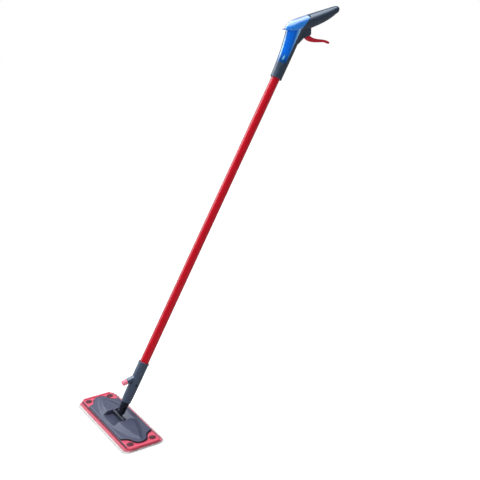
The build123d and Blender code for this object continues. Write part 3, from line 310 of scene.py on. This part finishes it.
def brushedSteel(name, look, pieces):
    material, tree, surface = newMaterial(name, look)
    stretched = node(tree, "ShaderNodeMapping", Vector=places(tree), Scale=look["stretch"]).outputs["Vector"]
    brush = node(tree, "ShaderNodeTexNoise", Vector=stretched, Scale=1.0, Detail=2.0).outputs["Fac"]
    tree.links.new(ramp(tree, brush, *look["brushed"]), surface.inputs["Roughness"])
    wear(material, pieces)
    return material


steel = brushedSteel("steel", steelLook, ["handle_screws", "lid_hinge_pin", "trigger_pin", "stem_pivot_pin",
                                          "barrel_pin", "cover_screws"])
brushedSteel("darkSteel", darkSteelLook, ["collar_screw"])
print("materials on the frame")


def placed(name, data):
    made = bpy.data.objects.new(name, data)
    scene.collection.objects.link(made)
    return made


def meshPiece(name, points, faces, material, body):
    mesh = bpy.data.meshes.new(name)
    mesh.from_pydata(points.tolist(), [], faces)
    mesh.polygons.foreach_set("use_smooth", np.ones(len(mesh.polygons), dtype=bool))
    mesh.materials.append(material)
    piece = placed(name, mesh)
    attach(piece, body)
    return piece


# Rounded rectangle, run round to the left: four quarter arcs, each followed by a straight side, all in equal steps
def roundedRing(halfX, halfY, corner, steps):
    straightX, straightY = halfX - corner, halfY - corner
    runs = []
    for turn, (sideX, sideY) in enumerate(((1, 1), (-1, 1), (-1, -1), (1, -1))):
        middle = np.array([sideX * straightX, sideY * straightY])
        angles = np.radians(90 * turn) + np.linspace(0, np.pi / 2, steps["arc"], endpoint=False)
        arc = middle + corner * np.stack([np.cos(angles), np.sin(angles)], 1)
        leaving = math.radians(90 * turn + 90)
        start = middle + corner * np.array([math.cos(leaving), math.sin(leaving)])
        heading = np.array([(-1, 0), (0, -1), (1, 0), (0, 1)][turn])
        length, count = (2 * straightY, steps["short"]) if turn % 2 else (2 * straightX, steps["long"])
        runs += [arc, start + np.linspace(0, length, count, endpoint=False)[:, None] * heading]
    return np.concatenate(runs)


# Distance gone along a path at each of its points
def travelled(path):
    return np.concatenate([[0], np.cumsum(np.linalg.norm(np.diff(path, axis=0), axis=1))])


# Faces between neighbouring closed rings of the same point count
def ringFaces(rings, count):
    faces = []
    for ring in range(rings - 1):
        for point in range(count):
            after = (point + 1) % count
            low, high = ring * count, (ring + 1) * count
            faces.append((low + point, low + after, high + after, high + point))
    return faces


# The same with both end rings closed. Faces point outwards where the rings run round to the left of their path
def cappedFaces(rings, count):
    last = (rings - 1) * count
    return ringFaces(rings, count) + [tuple(range(count))[::-1], tuple(range(last, last + count))]


# Return spring of the pump: a round wire carried along a helix whose height grows with its angle
coil = {"middle": (0.0, 0.5835), "low": 0.98525, "high": 0.99355, "radius": 0.0032, "wire": 0.0004, "turns": 5,
        "steps": 48, "sides": 10, "roof": 0.99395, "keep": 0.671}
turned = np.linspace(0, 2 * np.pi * coil["turns"], coil["turns"] * coil["steps"] + 1)
outward = np.stack([np.cos(turned), np.sin(turned), np.zeros_like(turned)], 1)
wirePath = coil["radius"] * outward
wirePath[:, :2] += coil["middle"]
wirePath[:, 2] = np.linspace(coil["low"], coil["high"], len(turned))
heading = np.gradient(wirePath, axis=0)
heading /= np.linalg.norm(heading, axis=1)[:, None]
upward = np.cross(heading, outward)
around = np.linspace(0, 2 * np.pi, coil["sides"], endpoint=False)[None, :, None]
wireSection = np.cos(around) * outward[:, None] + np.sin(around) * upward[:, None]
wirePoints = wirePath[:, None] + coil["wire"] * wireSection
wireFaces = cappedFaces(len(turned), coil["sides"])
returnSpring = meshPiece("returnSpring", wirePoints.reshape(-1, 3), wireFaces, steel, "handle")
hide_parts("pump_spring")
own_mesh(returnSpring)
print("return spring with", len(wireFaces), "faces")


# Fabric: two crossing wave fields make the weave, with fluff in the colour
def fabric(name, look):
    material, tree, surface = newMaterial(name, look)
    where = places(tree)
    weave = []
    for bands in ("X", "Y"):
        wave = node(tree, "ShaderNodeTexWave", Vector=where, Scale=look["weave"])
        wave.bands_direction = bands
        weave.append(wave.outputs["Fac"])
    fluff = node(tree, "ShaderNodeTexNoise", Vector=where, Scale=look["fluff"], Detail=4.0).outputs["Fac"]
    height = mathNode(tree, "ADD", mathNode(tree, "MAXIMUM", *weave), fluff)
    shade = mixColor(tree, fluff, paint(*look["color"]), paint(*look["second"]))
    tree.links.new(shade, surface.inputs["Base Color"])
    bump = node(tree, "ShaderNodeBump", Height=height, Strength=look["bump"], Distance=look["depth"])
    tree.links.new(bump.outputs["Normal"], surface.inputs["Normal"])
    return material


pileLook = {"color": (246, 247, 248), "second": (254, 254, 254), "roughness": 0.95, "sheen": 0.6, "glow": 0.5,
            "weave": 260.0, "fluff": 900.0, "bump": 0.8, "depth": 0.0006}
bandLook = {"color": (212, 76, 102), "second": (236, 124, 146), "roughness": 0.85, "sheen": 0.7,
            "weave": 420.0, "fluff": 1400.0, "bump": 0.5, "depth": 0.0003}
pileCloth = fabric("pileCloth", pileLook)
bandCloth = fabric("bandCloth", bandLook)

# Pile: flat pad of loops. Its height leaves the rim by a quarter ellipse within the round, and tufts roughen it,
# more underneath than on top
pile = {"halfX": 0.1475, "halfY": 0.057, "corner": 0.015, "leastCorner": 0.002, "top": 0.005, "round": 0.004,
        "insets": [0, 0.003, 0.008, 0.016, 0.028, 0.042, 0.0545], "tuftTop": 0.0002, "tuftUnder": 0.00025,
        "steps": {"arc": 10, "long": 130, "short": 46}, "seed": 5}
noise = np.random.default_rng(pile["seed"])
half = pile["top"] / 2
rings = []
sides = [(inset, 1) for inset in pile["insets"][::-1]] + [(inset, -1) for inset in pile["insets"]]
for inset, side in sides:  # outwards over the top, then back in underneath
    corner = max(pile["corner"] - inset, pile["leastCorner"])
    flat = roundedRing(pile["halfX"] - inset, pile["halfY"] - inset, corner, pile["steps"])
    rise = math.sqrt(1 - max(0.0, 1 - inset / pile["round"]) ** 2)
    tufts = noise.uniform(-1, 1, len(flat)) * (pile["tuftTop"] if side > 0 else pile["tuftUnder"])
    rings.append(np.column_stack([flat, np.clip(half + side * rise * half + tufts, 0.0, pile["top"])]))
pileFaces = cappedFaces(len(rings), len(rings[0]))
padPile = meshPiece("padPile", np.concatenate(rings[::-1]), pileFaces, pileCloth, "head")
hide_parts("pad_pile")
print("pile with", len(pileFaces), "faces")


# Tubes along many paths at once: four cornered, built from each path's own sideways frame
def strandMesh(paths, radii):
    corners = 4
    tiny = 1e-12  # keeps a still or upright step from dividing by nothing
    total, length = paths.shape[:2]
    way = np.gradient(paths, axis=1)
    way /= np.linalg.norm(way, axis=2, keepdims=True) + tiny
    beside = np.cross(way, np.array([0.0, 0.0, 1.0]))
    beside /= np.linalg.norm(beside, axis=2, keepdims=True) + tiny
    above = np.cross(beside, way)
    turns = np.radians(np.arange(corners) * 360 / corners)
    spread = np.cos(turns)[:, None] * beside[:, :, None, :] + np.sin(turns)[:, None] * above[:, :, None, :]
    points = paths[:, :, None, :] + spread * radii[:, :, None, None]
    index = np.arange(total * length * corners).reshape(total, length, corners)
    low, high = index[:, :-1], index[:, 1:]
    quads = np.stack([low, high, np.roll(high, -1, 2), np.roll(low, -1, 2)], -1).reshape(-1, 4)
    caps = np.concatenate([index[:, 0], index[:, -1, ::-1]])
    return points.reshape(-1, 3), [tuple(face) for face in np.concatenate([quads, caps]).tolist()]


# Fringe: strands leave a rounded rim outwards, sway aside and droop by the square of the way along them, each with
# its own length, height and thickness, and taper to their tips
strand = {"unevenReach": (0.6, 1.15), "unevenThick": (0.8, 1.25), "taper": 0.45, "longSide": 0.7}


def fringePiece(name, look, material):
    noise = np.random.default_rng(look["seed"])
    rootLine = roundedRing(look["halfX"], look["halfY"], look["corner"], look["steps"])
    total = len(rootLine)
    forward = np.roll(rootLine, -1, 0) - np.roll(rootLine, 1, 0)
    outwards = np.column_stack([forward[:, 1], -forward[:, 0]])
    outwards /= np.linalg.norm(outwards, axis=1, keepdims=True)
    sideways = np.column_stack([-outwards[:, 1], outwards[:, 0]])
    fullReach = np.where(np.abs(outwards[:, 1]) > strand["longSide"], look["reachY"], look["reachX"])
    reach = fullReach * noise.uniform(*strand["unevenReach"], total)
    sway = noise.normal(0, look["sway"], total)
    rootHeight = noise.uniform(*look["roots"], total)
    tipHeight = noise.uniform(*look["tips"], total)
    steps = np.linspace(0, 1, look["points"])
    flat = (rootLine[:, None] + outwards[:, None] * (reach[:, None] * steps)[:, :, None]
            + sideways[:, None] * (sway[:, None] * steps ** 2)[:, :, None])
    heights = rootHeight[:, None] * (1 - steps ** 2) + tipHeight[:, None] * steps ** 2
    paths = np.concatenate([flat, heights[:, :, None]], 2)
    thick = look["thick"] * (1 - strand["taper"] * steps)
    points, faces = strandMesh(paths, thick[None] * noise.uniform(*strand["unevenThick"], total)[:, None])
    print(name, total, "strands")
    return meshPiece(name, points, faces, material, "head")


pileFringe = {"halfX": 0.1455, "halfY": 0.0535, "corner": 0.014, "steps": {"arc": 60, "long": 620, "short": 230},
              "reachX": 0.0036, "reachY": 0.0056, "sway": 0.0016, "roots": (0.0012, 0.0044), "tips": (0.0005, 0.0024),
              "thick": 0.00045, "points": 6, "seed": 11}
bandFluff = {"halfX": 0.1452, "halfY": 0.0512, "corner": 0.0112, "steps": {"arc": 30, "long": 330, "short": 120},
             "reachX": 0.0032, "reachY": 0.0034, "sway": 0.0012, "roots": (0.0054, 0.0072), "tips": (0.0042, 0.0074),
             "thick": 0.00034, "points": 5, "seed": 23}
fringePiece("padFringe", pileFringe, pileCloth)
fringePiece("padFluff", bandFluff, bandCloth)

# Sheet: thin top of the pad. Its height is that of the top plus a product of two sine waves across the pad, and its
# rim drops straight to the pile
sheet = {"halfX": 0.1445, "halfY": 0.0505, "corner": 0.0105, "leastCorner": 0.0012, "low": 0.0051, "high": 0.0068,
         "wave": 0.00012, "ripples": 520, "insets": [0, 0.004, 0.012, 0.024, 0.038, 0.049],
         "steps": {"arc": 8, "long": 110, "short": 40}}
rings = []
for inset in sheet["insets"][::-1]:
    corner = max(sheet["corner"] - inset, sheet["leastCorner"])
    flat = roundedRing(sheet["halfX"] - inset, sheet["halfY"] - inset, corner, sheet["steps"])
    wave = sheet["wave"] * np.sin(flat[:, 0] * sheet["ripples"]) * np.sin(flat[:, 1] * sheet["ripples"])
    rings.append(np.column_stack([flat, sheet["high"] + wave]))
rings.append(np.column_stack([flat, np.full(len(flat), sheet["low"])]))
sheetFaces = cappedFaces(len(rings), len(rings[0]))
padSheet = meshPiece("padSheet", np.concatenate(rings[::-1]), sheetFaces, bandCloth, "head")
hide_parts("pad_backing")

# Binding: folded tape round the edge. Its section is an oval, flatter on the inside by the pinch, and its thickness
# puckers by a sine along the edge, once for each stitch
binding = {"halfX": 0.146, "halfY": 0.052, "corner": 0.012, "middle": 0.0061, "half": 0.0014, "wide": 0.0034,
           "steps": {"arc": 24, "long": 230, "short": 80}, "section": 10, "pucker": 0.00016, "pitch": 0.0034,
           "pinch": 0.14}


def bindingRing(inset):
    return roundedRing(binding["halfX"] - inset, binding["halfY"] - inset, binding["corner"] - inset, binding["steps"])


edge = bindingRing(0)
pucker = binding["pucker"] * np.sin(travelled(edge) / binding["pitch"] * 2 * np.pi)
rings = []
for spin in np.linspace(0, 2 * np.pi, binding["section"], endpoint=False):
    oval = math.sin(spin) * (1 - binding["pinch"] + binding["pinch"] * math.cos(spin))
    flat = bindingRing(binding["wide"] / 2 * (1 - math.cos(spin)))
    rings.append(np.column_stack([flat, binding["middle"] + (binding["half"] + pucker) * oval]))
bindingPoints = np.concatenate(rings)
bindingFaces = [tuple(point % len(bindingPoints) for point in face)  # the last ring meets the first
                for face in ringFaces(len(rings) + 1, len(edge))]
padBinding = meshPiece("padBinding", bindingPoints, bindingFaces, bandCloth, "head")
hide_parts("pad_binding")

# Stitches: short thread arcs along the binding's inner edge, each lifted by half a sine wave
stitch = {"inset": 0.0025, "length": 0.0023, "height": 0.00715, "lift": 0.0003, "thick": 0.00016, "points": 5}
seam = bindingRing(stitch["inset"])
closed = np.concatenate([seam, seam[:1]])
travel = travelled(closed)
starts = np.arange(0, travel[-1] - stitch["length"], binding["pitch"])
reach = starts[:, None] + np.linspace(0, stitch["length"], stitch["points"])
flat = np.stack([np.interp(reach, travel, closed[:, axis]) for axis in (0, 1)], 2)
arch = stitch["height"] + stitch["lift"] * np.sin(np.linspace(0, np.pi, stitch["points"]))
paths = np.concatenate([flat, np.broadcast_to(arch, flat.shape[:2])[:, :, None]], 2)
stitchPoints, stitchFaces = strandMesh(paths, np.full(paths.shape[:2], stitch["thick"]))
meshPiece("padStitches", stitchPoints, stitchFaces, bandCloth, "head")
print("sheet, binding and", len(starts), "stitches")


# One of three shaders by the kind of ray: light that lands, reflections, and what the eye sees straight or through
def byRay(tree, landing, mirrored, seen):
    rays = node(tree, "ShaderNodeLightPath").outputs
    lit = node(tree, "ShaderNodeMixShader", Fac=rays["Is Glossy Ray"])
    tree.links.new(landing, lit.inputs[1])
    tree.links.new(mirrored, lit.inputs[2])
    looking = mathNode(tree, "MAXIMUM", rays["Is Camera Ray"], rays["Is Transmission Ray"])
    choice = node(tree, "ShaderNodeMixShader", Fac=looking)
    tree.links.new(lit.outputs[0], choice.inputs[1])
    tree.links.new(seen, choice.inputs[2])
    return choice.outputs[0]


def aimed(made, place, aim):
    made.location = place
    made.rotation_euler = (Vector(aim) - Vector(place)).to_track_quat("-Z", "Y").to_euler()


# Studio: plain white to the eye, slanted soft light on surfaces, and for reflections a dim room with a few broad soft
# boxes. Each glint has its way, the span over which it comes in as a direction nears that way, and its strength
studio = {"toLight": (-0.5, -0.5, 0.7), "lightSpan": (-0.6, 1.0), "light": (0.3, 0.86), "dim": 0.06,
          "white": (1.0, 1.0, 1.0, 1.0), "cool": (0.84, 0.92, 1.0, 1.0),
          "glints": [((-0.65, -0.53, 0.54), 0.86, 0.98, 4.5), ((0.1, -0.05, 0.99), 0.66, 0.98, 7.0),
                     ((-0.8, 0.0, 0.6), 0.92, 0.99, 5.0)],
          "panels": [("keyPanel", (0.1, -2.1, 1.6), (0.0, 0.3, 0.6), (0.9, 2.4), 14.0),
                     ("topPanel", (-0.3, 0.1, 2.7), (0.0, 0.5, 0.9), (1.4, 1.6), 34.0),
                     ("backPanel", (-2.5, 2.2, 2.3), (0.0, 0.4, 0.7), (3.4, 2.6), 60.0)]}
scene.world = bpy.data.worlds.new("studioWorld")
scene.world.use_nodes = True
skyTree = scene.world.node_tree
skyTree.nodes.clear()
direction = node(skyTree, "ShaderNodeTexCoord").outputs["Generated"]


def nearing(way):
    return vectorMath(skyTree, "DOT_PRODUCT", direction, Vector(way).normalized())


def sky(color, strength):
    return node(skyTree, "ShaderNodeBackground", Color=color, Strength=strength).outputs[0]


skyLight = ramp(skyTree, nearing(studio["toLight"]), *studio["lightSpan"], *studio["light"], "LINEAR")
room = studio["dim"]
for way, start, end, strength in studio["glints"]:
    room = mathNode(skyTree, "ADD", ramp(skyTree, nearing(way), start, end, 0.0, strength), room)
skyChoice = byRay(skyTree, sky(studio["white"], skyLight), sky(studio["cool"], room), sky(studio["white"], 1.0))
node(skyTree, "ShaderNodeOutputWorld", Surface=skyChoice)

for name, place, aim, size, power in studio["panels"]:
    lamp = bpy.data.lights.new(name, "AREA")
    lamp.shape = "RECTANGLE"
    lamp.size, lamp.size_y = size
    lamp.energy = power
    panel = placed(name, lamp)
    aimed(panel, place, aim)
    panel.visible_camera = False
    panel.visible_glossy = False

# Floor: pale, part its own white and part lit where the eye sees it, so it keeps the shadow, and dim in reflections
floorLook = {"color": (232, 232, 232), "second": (240, 240, 240), "roughness": 0.9, "speck": 3.0, "ownWhite": 0.74,
             "lit": 0.45, "mirrored": 0.18, "span": 8.0, "high": -0.0002}
floorMaterial, floorTree, floorSurface = newMaterial("paleFloor", floorLook)
speck = node(floorTree, "ShaderNodeTexNoise", Vector=places(floorTree), Scale=floorLook["speck"]).outputs["Fac"]
pale = mixColor(floorTree, speck, paint(*floorLook["color"]), paint(*floorLook["second"]))
floorTree.links.new(pale, floorSurface.inputs["Base Color"])
ownWhite = node(floorTree, "ShaderNodeEmission", Strength=floorLook["ownWhite"])
shadowed = node(floorTree, "ShaderNodeBsdfDiffuse", Color=(floorLook["lit"],) * 3 + (1.0,))
ground = node(floorTree, "ShaderNodeAddShader")
floorTree.links.new(ownWhite.outputs[0], ground.inputs[0])
floorTree.links.new(shadowed.outputs[0], ground.inputs[1])
dimmed = node(floorTree, "ShaderNodeEmission", Strength=floorLook["mirrored"])
floorChoice = byRay(floorTree, floorSurface.outputs[0], dimmed.outputs[0], ground.outputs[0])
floorTree.links.new(floorChoice, floorTree.nodes["Material Output"].inputs["Surface"])
floorMesh = bpy.data.meshes.new("floor")
span = floorLook["span"]
floorCorners = [(x, y, floorLook["high"]) for x, y in ((-span, -span), (span, -span), (span, span), (-span, span))]
floorMesh.from_pydata(floorCorners, [], [(0, 1, 2, 3)])
floorMesh.materials.append(floorMaterial)
floor = placed("floor", floorMesh)
print("studio and floor")

# Camera: the photograph's viewing angle, worked out for a square frame of 480 pixels
view = {"place": (1.8394, -0.8079, 1.1607), "aim": (0.0502, 0.3421, 0.4588), "focal": 855.9, "frame": 480,
        "sensor": 36.0, "nudge": 0.4, "clip": (0.05, 60.0)}
lens = bpy.data.cameras.new("photoCamera")
lens.sensor_width = view["sensor"]
lens.lens = view["focal"] / view["frame"] * view["sensor"]
lens.shift_x = view["nudge"] / view["frame"]
lens.clip_start, lens.clip_end = view["clip"]
camera = placed("photoCamera", lens)
aimed(camera, view["place"], view["aim"])
scene.camera = camera
scene.view_settings.view_transform = "Standard"
print("camera")
